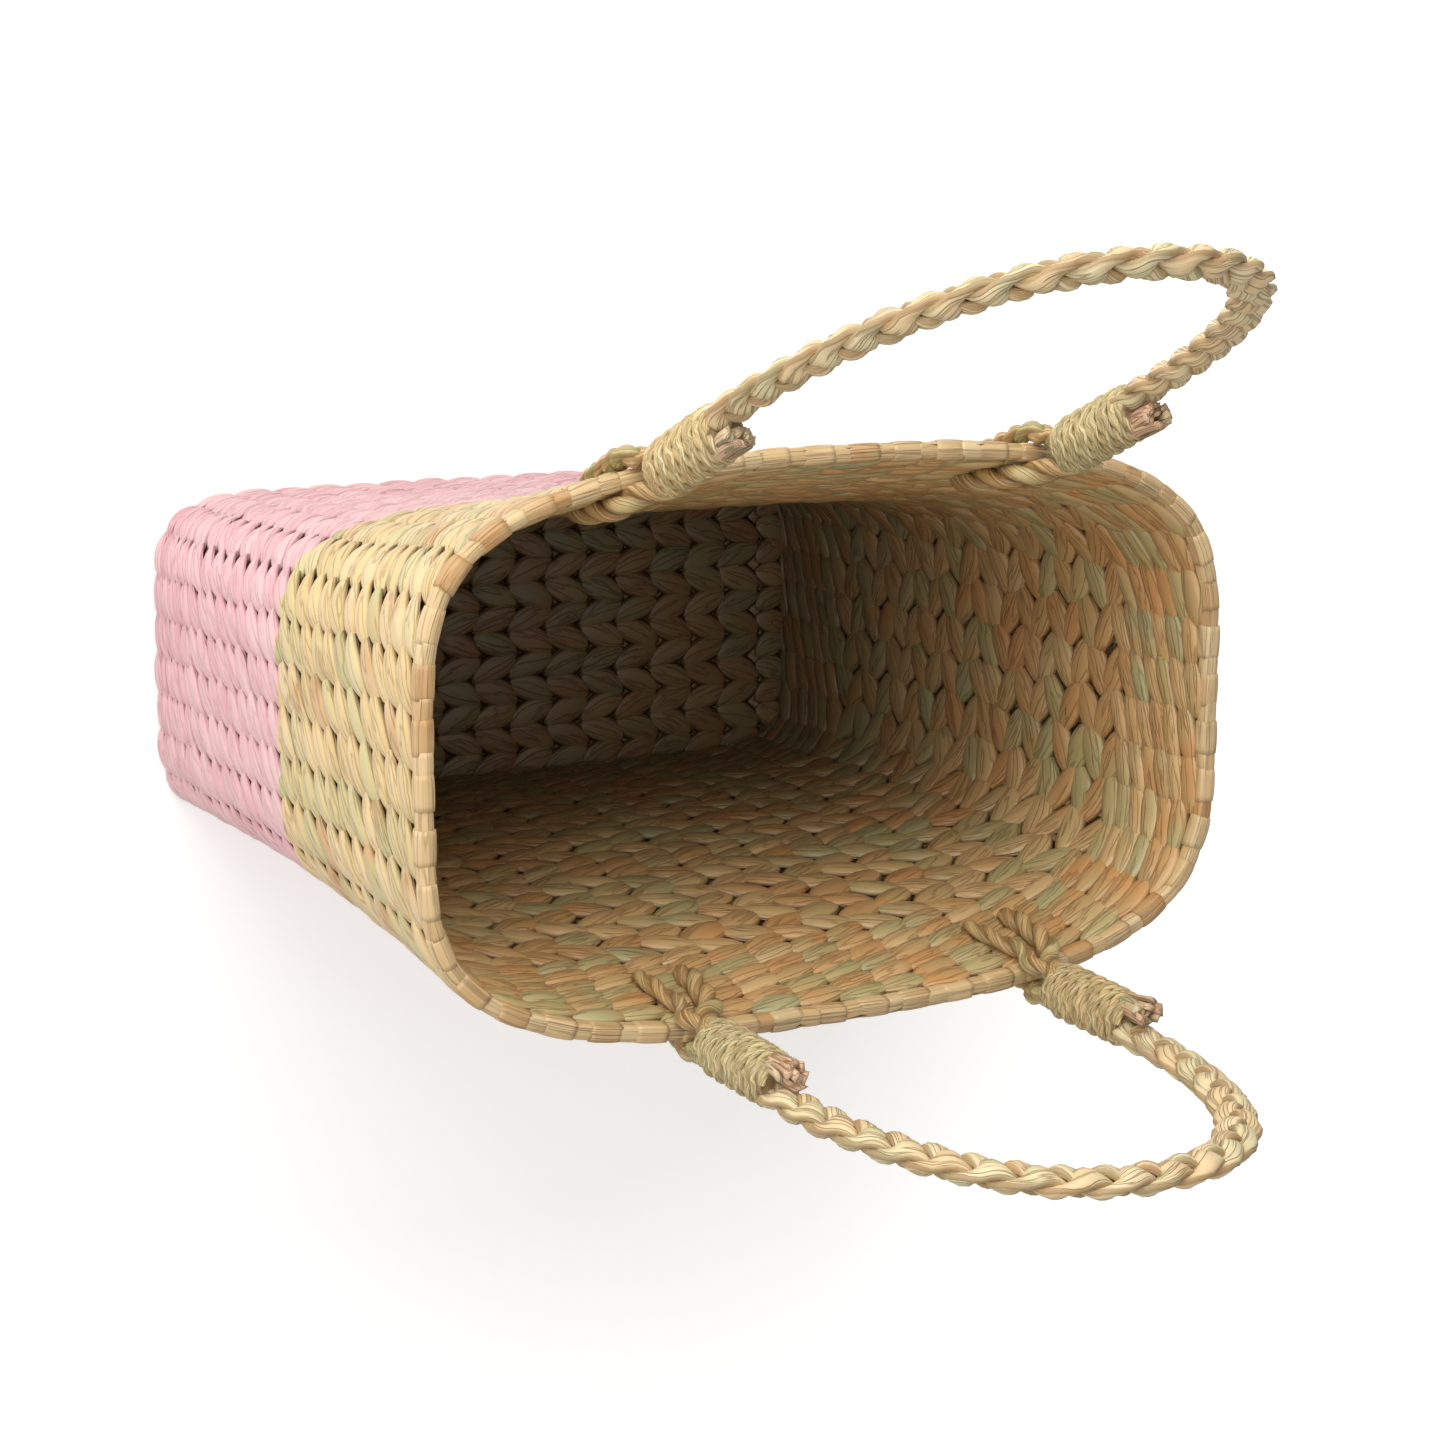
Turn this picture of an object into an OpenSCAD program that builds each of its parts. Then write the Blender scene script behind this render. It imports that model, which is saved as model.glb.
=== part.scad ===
// Twined reed market basket: an oblong base, walls that flare towards a bowed rim,
// and two braided arch handles lashed on astride the rim.
// Origin at the middle of the underside, +Z up, +X along the long side, front at -Y.

/* [Basket] */
// Length of the base along X, over the weave
base_length = 318; // [240:2:420]
// Depth of the base along Y, over the weave
base_depth = 141; // [100:1:200]
// Length of the opening along X, over the top courses
rim_length = 352; // [260:2:460]
// Depth of the opening along Y at its middle, over the top courses
rim_depth = 220; // [150:2:280]
// Height from the floor to the top of the rim border
basket_height = 305; // [220:5:400]
// How late the long walls start to bow outwards, 1 is an even flare
bow_power = 2.4; // [1:0.1:3]

/* [Weave] */
// Thickness of the woven wall
wall_thickness = 6; // [5:0.5:8]
// Thickness of the woven base
base_thickness = 7; // [6:0.5:10]
// Number of upright stakes round the wall
stake_count = 50; // [42:4:58]
// Width of a stake
stake_width = 7; // [4:0.5:8]
// Thickness of a stake
stake_thickness = 2.2; // [1:0.2:2.4]
// Number of stakes across the base
base_stake_count = 17; // [11:2:19]
// Height of the fine rows at the foot
foot_height = 48; // [30:1:60]
// Height that the dyed part reaches
dyed_height = 159; // [90:1:180]
// Height of the fine rows under the border
top_band_height = 48; // [46:1:60]

/* [Border] */
// Height of the rim border
border_height = 8; // [6:0.5:12]
// Thickness of the rim border
border_thickness = 9.5; // [8.5:0.5:12]

/* [Handles] */
// Rise of the front handle above the rim, along its own plane
front_rise = 206; // [150:2:260]
// Rise of the back handle above the rim, along its own plane
back_rise = 190; // [150:2:260]
// How far the front handle leans outwards, in degrees
front_lean = 23; // [0:1:40]
// How far the back handle leans outwards, in degrees
back_lean = 3.5; // [0:0.5:40]
// Width of the braid in the plane of the handle
braid_width = 15; // [12:0.5:18]
// Thickness of the braid across that plane
braid_thickness = 11; // [10.5:0.5:14]
// Height of the straight part of a handle above the rim
handle_shoulder = 66; // [64:1:90]

/* [Lashing] */
// Length of each whipping
whipping_length = 46; // [30:1:50]
// Thickness of the whipping's cord
whipping_cord = 2.4; // [1.6:0.2:3.2]
// Radius of the braid where the whipping squeezes it
braid_core = 5.4; // [4.5:0.1:6]
// Radius of the returned tail
tail_radius = 4.4; // [3.5:0.1:5]
// Length of the tail that shows past the whipping
tail_length = 13; // [6:1:20]
// Radius of an outer leg
outer_leg_radius = 5.5; // [4.5:0.1:6]
// Radius of an inner leg
inner_leg_radius = 3; // [2:0.1:3.2]
// Depth below the rim where the legs pass through the wall
leg_drop = 39; // [34:1:44]

/* [Hidden] */
// Height of the handles' hinge line above the rim
hinge_rise = 7;
// Gap between the hinge line and the whipping
whipping_gap = 9;
// Clearance round what passes through a whipping
core_clearance = 0.15;
// Clearance between legs, wall and border
leg_clearance = 0.6 * pow(rim_depth / 220, 2);
// Clear distance between the hinge line and the top of each leg
leg_top_gap = 8.4;
// How far past the border's two faces the legs' top ends stand
outer_top_gap = 1.844;
inner_top_gap = 1.55;

// Stakes that the feet of each handle stand astride, counted round the wall
quarter = stake_count / 4;
front_feet = [floor(quarter - 4), floor(quarter + 5)];
back_feet = [floor(quarter - 3), floor(quarter + 5)];

// Squareness of the outline: exponents of a superellipse at the base and at the rim
base_long_power = 10;
rim_long_power = 2.6;
base_short_power = 6;
rim_short_power = 4.5;
outline_samples = 360;

top_z = basket_height - border_height;
top_band_z = top_z - top_band_height;
hinge_z = basket_height + hinge_rise;

// The wall is straight between these heights
levels = [
  0,
  base_thickness,
  foot_height,
  (foot_height + dyed_height) / 2,
  dyed_height,
  (dyed_height + top_band_z) / 2,
  top_band_z,
  (top_band_z + top_z) / 2,
  top_z,
  basket_height
];

function mix(a, b, t) = a + (b - a) * t;
function unit(v) = v / norm(v);
function signed_power(v, e) = sign(v) * pow(abs(v), e);

// Middle of the wall's thickness, as half sizes and exponents at a height
function half_length(z) = mix(base_length, rim_length, z / basket_height) / 2 - wall_thickness / 2;
function half_depth(z) =
  mix(base_depth, rim_depth, pow(z / basket_height, bow_power)) / 2 - wall_thickness / 2;
function long_power(z) =
  1 / mix(1 / base_long_power, 1 / rim_long_power, pow(z / basket_height, 1.5));
function short_power(z) = mix(base_short_power, rim_short_power, z / basket_height);
function outline_point(z, angle) = [
  half_length(z) * signed_power(cos(angle), 2 / long_power(z)),
  half_depth(z) * signed_power(sin(angle), 2 / short_power(z))
];

// Points spaced evenly round the outline, starting half a step past the +X end
function outline(z) =
  let (
    samples = [for (i = [0 : outline_samples]) outline_point(z, 360 * i / outline_samples)],
    lengths = [
      for (i = 0, run = 0; i <= outline_samples;
        run = run + (i < outline_samples ? norm(samples[i + 1] - samples[i]) : 0), i = i + 1) run
    ],
    total = lengths[outline_samples],
    xs = [for (i = [0 : outline_samples]) [lengths[i], samples[i].x]],
    ys = [for (i = [0 : outline_samples]) [lengths[i], samples[i].y]]
  )
  [
    for (i = [0 : stake_count - 1])
      let (run = total * (i + 0.5) / stake_count) [lookup(run, xs), lookup(run, ys)]
  ];

// Outward direction at each point of a ring
function ring_normals(ring) = [
  for (i = [0 : stake_count - 1])
    let (d = ring[(i + 1) % stake_count] - ring[(i + stake_count - 1) % stake_count])
      unit([d.y, -d.x])
];

level_rings = [for (z = levels) outline(z)];

// The ring at any height, straight between the levels
function level_below(z, i = 0) =
  i >= len(levels) - 2 || z < levels[i + 1] ? i : level_below(z, i + 1);
function ring_at(z) =
  let (
    i = level_below(z),
    t = (z - levels[i]) / (levels[i + 1] - levels[i])
  )
  [for (k = [0 : stake_count - 1]) mix(level_rings[i][k], level_rings[i + 1][k], t)];

// A point of the wall at gap number k (between stakes k and k + 1), moved outwards
function gap_point(k, z, out) =
  let (ring = ring_at(z), p = ring[k] + ring_normals(ring)[k] * out) [p.x, p.y, z];

// A point of the wall at stake number k, moved outwards
function stake_point(k, z, out) =
  let (
    ring = ring_at(z),
    a = ring[(k + stake_count - 1) % stake_count],
    b = ring[k % stake_count],
    n = unit([b.y - a.y, a.x - b.x]),
    p = (a + b) / 2 + n * out
  )
  [p.x, p.y, z];

// Faces between closed loops of points that lie one after another
function band_faces(loops, size, joined) = [
  for (j = [0 : loops - (joined ? 1 : 2)], i = [0 : size - 1], half = [0, 1])
    let (
      a = j * size + i,
      b = j * size + (i + 1) % size,
      c = ((j + 1) % loops) * size + (i + 1) % size,
      d = ((j + 1) % loops) * size + i
    )
    half == 0 ? [a, c, b] : [a, d, c]
];

// A closed ring of the wall, from a section of [outward offset, height] points
module wall_ring(section) {
  points = [
    for (s = section)
      let (ring = ring_at(s[1]), normals = ring_normals(ring))
        for (k = [0 : stake_count - 1])
          let (p = ring[k] + normals[k] * s[0]) [p.x, p.y, s[1]]
  ];
  polyhedron(points, band_faces(len(section), stake_count, true));
}

// The section of a run of courses between two of the levels
function course_section(low, high) =
  let (inside = [for (z = levels) if (z >= low && z <= high) z], last = len(inside) - 1)
  concat(
    [for (i = [0 : last]) [wall_thickness / 2, inside[i]]],
    [for (i = [0 : last]) [-wall_thickness / 2, inside[last - i]]]
  );

// A solid through loops of points, with flat ends
module loft(loops) {
  size = len(loops[0]);
  points = [for (loop = loops, p = loop) p];
  last = (len(loops) - 1) * size;
  ends = [[for (i = [0 : size - 1]) i], [for (i = [0 : size - 1]) last + size - 1 - i]];
  polyhedron(points, concat(band_faces(len(loops), size, false), ends));
}

// One stake, following the wall
module stake(k) {
  loft([
    for (z = levels)
      if (z >= base_thickness && z <= top_z)
        let (
          out = stake_point(k, z, stake_thickness / 2),
          in = stake_point(k, z, -stake_thickness / 2),
          n = unit(out - in),
          side = [-n.y, n.x, 0] * stake_width / 2
        )
        [out + side, in + side, in - side, out - side]
  ]);
}

module stakes() {
  color("tan")
    for (k = [0 : stake_count - 1]) stake(k);
}

// A run of courses, woven round the stakes
module courses(low, high) {
  difference() {
    wall_ring(course_section(low, high));
    for (k = [0 : stake_count - 1]) stake(k);
  }
}

module foot_courses() {
  color("pink")
    courses(0, foot_height);
}

module dyed_courses() {
  color("lightpink")
    courses(foot_height, dyed_height);
}

module natural_courses() {
  color("burlywood")
    courses(dyed_height, top_band_z);
}

module top_courses() {
  color("wheat")
    difference() {
      courses(top_band_z, top_z);
      for (side = [0, 1]) turn_side(side) for (foot = [0, 1]) inner_leg_pair(side, foot);
    }
}

module rim_border() {
  color("peru")
    wall_ring([
      [border_thickness / 2 - 1.5, top_z],
      [border_thickness / 2, top_z + border_height * 0.3],
      [border_thickness / 2, top_z + border_height * 0.7],
      [border_thickness / 2 - 2, basket_height],
      [2 - border_thickness / 2, basket_height],
      [-border_thickness / 2, top_z + border_height * 0.7],
      [-border_thickness / 2, top_z + border_height * 0.3],
      [1.5 - border_thickness / 2, top_z]
    ]);
}

// Stakes across the base, evenly spaced, as long as the base is deep where they lie
base_stake_pitch = (base_length - 4 * wall_thickness) / base_stake_count;
function base_stake_reach(x) =
  (base_depth / 2 - wall_thickness)
  * pow(1 - pow(abs(x) / (base_length / 2 - wall_thickness), base_long_power), 1 / base_short_power)
  - wall_thickness;

module base_stakes() {
  color("tan")
    for (i = [0 : base_stake_count - 1]) {
      x = (i - (base_stake_count - 1) / 2) * base_stake_pitch;
      reach = base_stake_reach(abs(x) + stake_width / 2);
      translate([x, 0, base_thickness / 2])
        cube([stake_width, 2 * reach, stake_thickness], center = true);
    }
}

module base_weave() {
  color("rosybrown")
    difference() {
      loft([
        for (z = [base_thickness, 0])
          let (ring = ring_at(z), normals = ring_normals(ring))
            [
              for (k = [0 : stake_count - 1])
                let (p = ring[k] - normals[k] * wall_thickness / 2) [p.x, p.y, z]
            ]
      ]);
      base_stakes();
    }
}

// Side 0 is the back, on +Y, and side 1 the front, made there and turned half round
module turn_side(side) {
  rotate([0, 0, 180 * side]) children();
}

function feet(side) = side == 0 ? back_feet : front_feet;
function rise(side) = (side == 0 ? back_rise : front_rise) - hinge_rise;
function lean(side) = side == 0 ? back_lean : front_lean;
function foot_wall(side, foot) = stake_point(feet(side)[foot], basket_height, 0);
function hinge_y(side) = (foot_wall(side, 0).y + foot_wall(side, 1).y) / 2;
function handle_middle(side) = (foot_wall(side, 0).x + foot_wall(side, 1).x) / 2;
function handle_half(side) = (foot_wall(side, 0).x - foot_wall(side, 1).x) / 2;
function foot_sign(foot) = foot == 0 ? 1 : -1;

// A handle's own frame: X along the hinge line, Y outwards across its plane, Z up it
module at_handle(side) {
  turn_side(side)
    translate([handle_middle(side), hinge_y(side), hinge_z])
      rotate([-lean(side), 0, 0]) children();
}

// A tube through points that keep near one plane across X, with a radius at each
module tube(path, radii, sides = 8) {
  last = len(path) - 1;
  loft([
    for (i = [0 : last])
      let (
        t = unit(path[min(i + 1, last)] - path[max(i - 1, 0)]),
        u = unit([1, 0, 0] - t * t.x),
        w = cross(t, u)
      )
      [
        for (s = [0 : sides - 1])
          path[i] + radii[i] * (u * cos(360 * s / sides) + w * sin(360 * s / sides))
      ]
  ]);
}

// The braid stands off the hinge line's plane, so that the tail fits inside it
braid_offset = braid_core - 0.8;
tail_offset = braid_offset - braid_core - tail_radius - 2 * core_clearance - 0.3;
whipping_top = whipping_gap + whipping_length;

// Stations of the braid: [x, z, half width, half thickness, offset]
function half_braid(side) =
  let (w = handle_half(side), r = rise(side), shoulder = handle_shoulder - hinge_rise)
  concat(
    [
      [w, 1.5, 2, 2, 0],
      [w, whipping_gap - 3.5, 3, 3, 1.2],
      [w, whipping_gap, braid_core, braid_core, braid_offset],
      [w, whipping_top, braid_core, braid_core, braid_offset],
      [w, max(shoulder, whipping_top) + 3, braid_width / 2, braid_thickness / 2, braid_offset + 0.4]
    ],
    [
      for (a = [12 : 13 : 77])
        [
          w * cos(a), shoulder + (r - shoulder) * sin(a),
          braid_width / 2, braid_thickness / 2, braid_offset + 0.4
        ]
    ]
  );

module handle_braid(side, sides = 10) {
  half = half_braid(side);
  crown = [[0, rise(side), braid_width / 2, braid_thickness / 2, braid_offset + 0.4]];
  stations = concat(
    half,
    crown,
    [for (i = [len(half) - 1 : -1 : 0]) [-half[i][0], half[i][1], half[i][2], half[i][3], half[i][4]]]
  );
  last = len(stations) - 1;
  loft([
    for (i = [0 : last])
      let (
        s = stations[i],
        a = stations[max(i - 1, 0)],
        b = stations[min(i + 1, last)],
        t = unit([b[0] - a[0], b[1] - a[1]]),
        u = [t.y, 0, -t.x],
        centre = [s[0], s[4], s[1] - braid_width / 2 * pow(s[1] / rise(side), 8)]
      )
      [
        for (k = [0 : sides - 1])
          centre + u * s[2] * cos(360 * k / sides) - [0, 1, 0] * s[3] * sin(360 * k / sides)
      ]
  ]);
}

// Section of a whipping: an oval round the braid and the returned tail
whipping_half_width = max(braid_core, tail_radius) + 1.9 * whipping_cord;
whipping_front = braid_offset + braid_core + core_clearance + whipping_cord / 2;
whipping_back = tail_offset - tail_radius - core_clearance - whipping_cord / 2;

module whipping(side, foot) {
  middle = (whipping_front + whipping_back) / 2;
  half = (whipping_front - whipping_back) / 2;
  at_handle(side)
    translate([foot_sign(foot) * handle_half(side), 0, whipping_gap])
      linear_extrude(whipping_length)
        difference() {
          polygon([
            for (a = [0 : 15 : 345]) [whipping_half_width * cos(a), middle + half * sin(a)]
          ]);
          translate([0, braid_offset]) circle(r = braid_core + core_clearance, $fn = 48);
          translate([0, tail_offset]) circle(r = tail_radius + core_clearance, $fn = 48);
        }
}

module tail(side, foot) {
  at_handle(side)
    translate([foot_sign(foot) * handle_half(side), tail_offset, whipping_gap])
      cylinder(r = tail_radius, h = whipping_length + tail_length, $fn = 48);
}

// Where a handle's foot meets its hinge line
function foot_hinge(side, foot) = [foot_wall(side, foot).x, hinge_y(side), hinge_z];

// The leg that runs down outside the wall
module outer_leg(side, foot) {
  k = feet(side)[foot];
  clear_border = border_thickness / 2 + outer_leg_radius + leg_clearance;
  clear_wall = wall_thickness / 2 + outer_leg_radius + leg_clearance;
  tube(
    [
      foot_hinge(side, foot) + [0, border_thickness / 2 + outer_top_gap, -0.62 * leg_top_gap],
      stake_point(k, basket_height - 3, clear_border - outer_leg_radius * 0.22),
      stake_point(k, top_z - 3, clear_border),
      stake_point(k, top_z - 16, clear_wall),
      stake_point(k, basket_height - leg_drop - 5, clear_wall)
    ],
    outer_leg_radius * [0.5, 0.78, 1, 1, 0.85]
  );
}

// The strand that leaves the outer leg, passes through a gap of the wall and comes up inside
module inner_leg(side, foot, hand) {
  k = feet(side)[foot];
  gap = hand > 0 ? k - 1 : k;
  clear_border = border_thickness / 2 + inner_leg_radius + leg_clearance;
  clear_wall = wall_thickness / 2 + inner_leg_radius + leg_clearance;
  pass_z = basket_height - leg_drop;
  function part_way(z, t) = mix(stake_point(k, z, -clear_border), gap_point(gap, z, -clear_border), t);
  tube(
    [
      foot_hinge(side, foot)
        + [0.5 * hand * leg_top_gap, -border_thickness / 2 - inner_top_gap, -0.43 * leg_top_gap],
      part_way(basket_height - 3, 0.6),
      part_way(top_z - 8, 0.85),
      gap_point(gap, pass_z + 8, -clear_wall + 0.6),
      gap_point(gap, pass_z + 2, -1),
      gap_point(gap, pass_z, wall_thickness / 2 + 1.5)
    ],
    inner_leg_radius * [0.75, 1, 1, 1, 1, 0.8]
  );
}

module inner_leg_pair(side, foot) {
  for (hand = [-1, 1]) inner_leg(side, foot, hand);
}

module front_handle_braid() {
  color("khaki") at_handle(1) handle_braid(1);
}

module back_handle_braid() {
  color("khaki") at_handle(0) handle_braid(0);
}

module front_left_whipping() {
  color("palegoldenrod") whipping(1, 0);
}

module front_right_whipping() {
  color("palegoldenrod") whipping(1, 1);
}

module back_left_whipping() {
  color("palegoldenrod") whipping(0, 1);
}

module back_right_whipping() {
  color("palegoldenrod") whipping(0, 0);
}

module front_left_tail() {
  color("sandybrown") tail(1, 0);
}

module front_right_tail() {
  color("sandybrown") tail(1, 1);
}

module back_left_tail() {
  color("sandybrown") tail(0, 1);
}

module back_right_tail() {
  color("sandybrown") tail(0, 0);
}

module front_left_outer_leg() {
  color("darkkhaki") turn_side(1) outer_leg(1, 0);
}

module front_right_outer_leg() {
  color("darkkhaki") turn_side(1) outer_leg(1, 1);
}

module back_left_outer_leg() {
  color("darkkhaki") outer_leg(0, 1);
}

module back_right_outer_leg() {
  color("darkkhaki") outer_leg(0, 0);
}

module front_left_inner_legs() {
  color("olive") turn_side(1) inner_leg_pair(1, 0);
}

module front_right_inner_legs() {
  color("olive") turn_side(1) inner_leg_pair(1, 1);
}

module back_left_inner_legs() {
  color("olive") inner_leg_pair(0, 1);
}

module back_right_inner_legs() {
  color("olive") inner_leg_pair(0, 0);
}

base_stakes();
base_weave();
stakes();
foot_courses();
dyed_courses();
natural_courses();
top_courses();
rim_border();
front_handle_braid();
front_left_whipping();
front_right_whipping();
front_left_tail();
front_right_tail();
back_handle_braid();
back_left_whipping();
back_right_whipping();
back_left_tail();
back_right_tail();
front_left_outer_leg();
front_right_outer_leg();
back_left_outer_leg();
back_right_outer_leg();
front_left_inner_legs();
front_right_inner_legs();
back_left_inner_legs();
back_right_inner_legs();
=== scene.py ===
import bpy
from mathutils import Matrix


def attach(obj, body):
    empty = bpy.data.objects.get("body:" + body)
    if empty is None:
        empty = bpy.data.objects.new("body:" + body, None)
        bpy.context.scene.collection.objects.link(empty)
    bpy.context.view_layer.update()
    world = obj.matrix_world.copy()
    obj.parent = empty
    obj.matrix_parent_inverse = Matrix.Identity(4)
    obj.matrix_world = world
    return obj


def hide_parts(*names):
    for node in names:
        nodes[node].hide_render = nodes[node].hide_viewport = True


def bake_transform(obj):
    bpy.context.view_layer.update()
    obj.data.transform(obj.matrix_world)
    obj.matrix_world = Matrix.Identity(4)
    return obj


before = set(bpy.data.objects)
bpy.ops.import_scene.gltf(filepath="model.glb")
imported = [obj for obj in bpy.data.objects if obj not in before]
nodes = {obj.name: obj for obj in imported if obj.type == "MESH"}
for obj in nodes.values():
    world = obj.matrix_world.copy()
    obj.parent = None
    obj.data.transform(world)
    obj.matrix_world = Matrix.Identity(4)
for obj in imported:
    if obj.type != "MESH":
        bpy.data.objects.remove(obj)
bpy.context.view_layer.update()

import math
import random

import bmesh
import bpy
import numpy as np
from mathutils import Matrix, Vector

scene = bpy.context.scene
mm = 0.001


# camera, light and stage
def linkObject(name, data):
    made = bpy.data.objects.new(name, data)
    scene.collection.objects.link(made)
    return made


camera = linkObject("camera", bpy.data.cameras.new("camera"))
cameraRight = Vector((-0.86312, -0.00084, 0.50499))
cameraUp = Vector((-0.08963, -0.98387, -0.15483))
cameraBack = Vector((0.49697, -0.17890, 0.84912))
cameraTurn = Matrix((cameraRight, cameraUp, cameraBack)).transposed()
camera.matrix_world = Matrix.Translation((0.62418, -0.21608, 1.27759)) @ cameraTurn.to_4x4()
camera.data.lens = 78.3
camera.data.sensor_width = 36
camera.data.clip_start = 0.05
scene.camera = camera
scene.view_settings.view_transform = "Standard"

lighting = dict(keyPower=17.0, keySize=1.3, fillPower=8.0, fillSize=1.2, sky=0.52, distance=1.5)


def areaLight(name, direction, power, size):
    lamp = bpy.data.lights.new(name, "AREA")
    lamp.energy = power
    lamp.size = size
    made = linkObject(name, lamp)
    toward = Vector(direction).normalized()
    made.location = Vector((0, 0, 0.15)) + toward * lighting["distance"]
    made.rotation_mode = "QUATERNION"
    made.rotation_quaternion = (-toward).to_track_quat("-Z", "Y")


areaLight("keyLight", (0.42, -1.0, 0.62), lighting["keyPower"], lighting["keySize"])
areaLight("fillLight", (0.9, -0.1, 0.75), lighting["fillPower"], lighting["fillSize"])


def addNode(tree, kind, inputs=None, **settings):
    node = tree.nodes.new(kind)
    for key, value in settings.items():
        setattr(node, key, value)
    for key, value in (inputs or {}).items():
        if isinstance(value, bpy.types.NodeSocket):
            tree.links.new(value, node.inputs[key])
        else:
            node.inputs[key].default_value = value
    return node


def buildSky():
    world = bpy.data.worlds.new("sky")
    scene.world = world
    world.use_nodes = True
    tree = world.node_tree
    tree.nodes.clear()
    path = addNode(tree, "ShaderNodeLightPath")
    seen = addNode(tree, "ShaderNodeBackground", {0: (1, 1, 1, 1), 1: 1.0})
    lit = addNode(tree, "ShaderNodeBackground", {0: (1, 0.98, 0.95, 1), 1: lighting["sky"]})
    cameraRay = path.outputs["Is Camera Ray"]
    mixed = addNode(tree, "ShaderNodeMixShader", {0: cameraRay, 1: lit.outputs[0], 2: seen.outputs[0]})
    addNode(tree, "ShaderNodeOutputWorld", {0: mixed.outputs[0]})


buildSky()
print("stage: camera and light")


# node helpers
def maths(tree, operation, first, second=0.0, third=0.0):
    return addNode(tree, "ShaderNodeMath", {0: first, 1: second, 2: third}, operation=operation).outputs[0]


def vectors(tree, operation, first, second=(0, 0, 0)):
    return addNode(tree, "ShaderNodeVectorMath", {0: first, 1: second}, operation=operation).outputs[0]


def scaled(tree, vector, factor):
    return addNode(tree, "ShaderNodeVectorMath", {0: vector, "Scale": factor}, operation="SCALE").outputs[0]


def mapRange(tree, value, low, high, newLow=0.0, newHigh=1.0, **settings):
    inputs = {0: value, 1: low, 2: high, 3: newLow, 4: newHigh}
    return addNode(tree, "ShaderNodeMapRange", inputs, **settings).outputs[0]


floor = dict(reach=3.0, level=-0.0013, colour=(0.9, 0.9, 0.9, 1), glow=(0.30, 1.0), glowReach=(0.28, 0.9))


def buildFloor():
    # a pale floor that turns white away from the basket: it glows for camera rays only, more the farther from
    # the basket, which is painted light
    reach, level = floor["reach"], floor["level"]
    corners = [(x * reach, y * reach, level) for x, y in ((-1, -1), (1, -1), (1, 1), (-1, 1))]
    mesh = bpy.data.meshes.new("floor")
    mesh.from_pydata(corners, [], [(0, 1, 2, 3)])
    paper = bpy.data.materials.new("floorPaper")
    paper.use_nodes = True
    tree = paper.node_tree
    tree.nodes.clear()
    ray = addNode(tree, "ShaderNodeLightPath").outputs
    place = addNode(tree, "ShaderNodeTexCoord").outputs["Object"]
    away = addNode(tree, "ShaderNodeVectorMath", {0: place}, operation="LENGTH").outputs["Value"]
    glow = mapRange(tree, away, *floor["glowReach"], *floor["glow"])
    glow = maths(tree, "MULTIPLY", ray["Is Camera Ray"], glow)
    bright = addNode(tree, "ShaderNodeEmission", {0: (1, 1, 1, 1), 1: glow}).outputs[0]
    white = addNode(tree, "ShaderNodeBsdfDiffuse", {0: floor["colour"]}).outputs[0]
    mixed = addNode(tree, "ShaderNodeAddShader", {0: white, 1: bright}).outputs[0]
    addNode(tree, "ShaderNodeOutputMaterial", {0: mixed})
    mesh.materials.append(paper)
    linkObject("floor", mesh)


buildFloor()
print("stage: floor")


def named(tree, name, kind="FLOAT"):
    return addNode(tree, "GeometryNodeInputNamedAttribute", {"Name": name}, data_type=kind).outputs[0]


def stored(tree, geometry, name, value, domain="POINT", kind="FLOAT"):
    inputs = {"Geometry": geometry, "Name": name, "Value": value}
    return addNode(tree, "GeometryNodeStoreNamedAttribute", inputs, data_type=kind, domain=domain).outputs[0]


socketKinds = {float: "NodeSocketFloat", int: "NodeSocketInt", tuple: "NodeSocketVector"}


def newTree(name, inputs):
    tree = bpy.data.node_groups.new(name, "GeometryNodeTree")
    tree.interface.new_socket(name="Geometry", in_out="INPUT", socket_type="NodeSocketGeometry")
    for label, value in inputs.items():
        kind = socketKinds.get(type(value)) or "NodeSocket" + value
        made = tree.interface.new_socket(name=label, in_out="INPUT", socket_type=kind)
        if not isinstance(value, str):
            made.default_value = value
    tree.interface.new_socket(name="Geometry", in_out="OUTPUT", socket_type="NodeSocketGeometry")
    return tree, addNode(tree, "NodeGroupInput").outputs


def closeTree(tree, geometry, material):
    real = addNode(tree, "GeometryNodeRealizeInstances", {0: geometry}).outputs[0]
    shaded = addNode(tree, "GeometryNodeSetShadeSmooth", {0: real, "Shade Smooth": True}).outputs[0]
    dressed = addNode(tree, "GeometryNodeSetMaterial", {"Geometry": shaded, "Material": material}).outputs[0]
    addNode(tree, "NodeGroupOutput", {0: dressed})
    return tree


def runTree(name, source, tree, values):
    carrier = linkObject(name + "Source", source)
    modifier = carrier.modifiers.new("grow", "NODES")
    modifier.node_group = tree
    for item in tree.interface.items_tree:
        if item.in_out == "INPUT" and item.name in values:
            modifier[item.identifier] = values[item.name]
    bpy.context.view_layer.update()
    graph = bpy.context.evaluated_depsgraph_get()
    mesh = bpy.data.meshes.new_from_object(carrier.evaluated_get(graph))
    mesh.name = name
    bpy.data.objects.remove(carrier)
    return mesh


def joinMeshes(name, meshes):
    made = [linkObject(name + str(index), mesh) for index, mesh in enumerate(meshes)]
    chosen = dict(active_object=made[0], selected_editable_objects=made, selected_objects=made)
    with bpy.context.temp_override(**chosen):
        if len(made) > 1:
            bpy.ops.object.join()
    made[0].name = name
    made[0].data.name = name
    return made[0]


def finishPiece(piece, bodies, replaced):
    triangles = sum(len(face.vertices) - 2 for face in piece.data.polygons)
    if len(bodies) == 2:
        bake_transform(piece)
    else:
        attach(piece, bodies[0])
    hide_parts(*replaced)
    print("piece:", piece.name, triangles, "triangles")


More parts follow.
